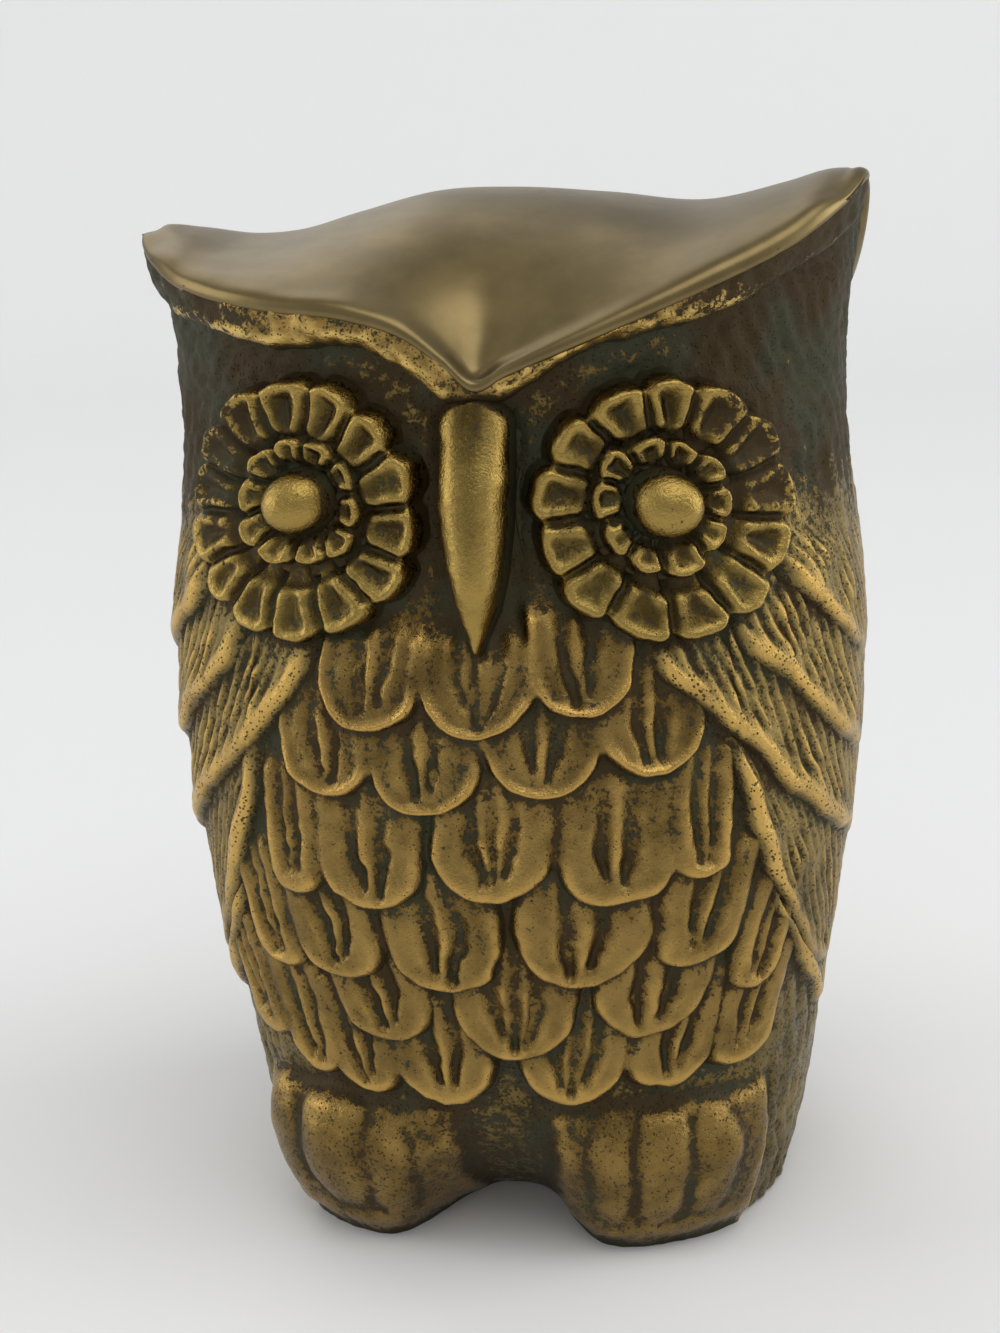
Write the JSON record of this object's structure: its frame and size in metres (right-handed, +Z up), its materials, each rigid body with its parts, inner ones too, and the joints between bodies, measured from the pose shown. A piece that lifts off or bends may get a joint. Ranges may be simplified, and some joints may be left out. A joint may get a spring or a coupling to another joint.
{
  "type": "owl figurine",
  "caption": "Standing cast brass owl ornament with a smooth crown, ear tips, rosette eyes, layered feathers and a hollow body open underneath.",
  "frame": {"origin": "on the surface the owl stands on, under the middle of its outline", "axes": "+Z up; the owl looks along -Y; +X is its left-hand side, towards the taller ear tip"},
  "size_m": [0.088, 0.0764, 0.127],
  "materials": {
    "polished_brass": "satin-polished cast brass, worn smooth, with faint ring marks",
    "worn_brass": "sand-cast brass with rubbed bright edges and dark patina in the hollows",
    "pitted_brass": "rough pitted as-cast brass with a bright speckle over black patina",
    "patinated_brass": "as-cast brass under a dark grey-green patina"
  },
  "bodies": {
    "root": {"front_shell": "patinated_brass", "back_shell": "patinated_brass", "crown": "polished_brass", "brow_ridge": "pitted_brass", "beak": "worn_brass", "left_eye_petals": "worn_brass", "right_eye_petals": "worn_brass", "left_iris": "worn_brass", "right_iris": "worn_brass", "left_pupil": "polished_brass", "right_pupil": "polished_brass", "breast_row_1": "worn_brass", "breast_row_2": "worn_brass", "breast_row_3": "worn_brass", "breast_row_4": "worn_brass", "breast_row_5": "worn_brass", "breast_row_6": "worn_brass", "left_wing": "worn_brass", "right_wing": "worn_brass", "left_foot": "worn_brass", "right_foot": "worn_brass", "back_feathers": "worn_brass", "tail": "worn_brass"}
  },
  "joints": []
}
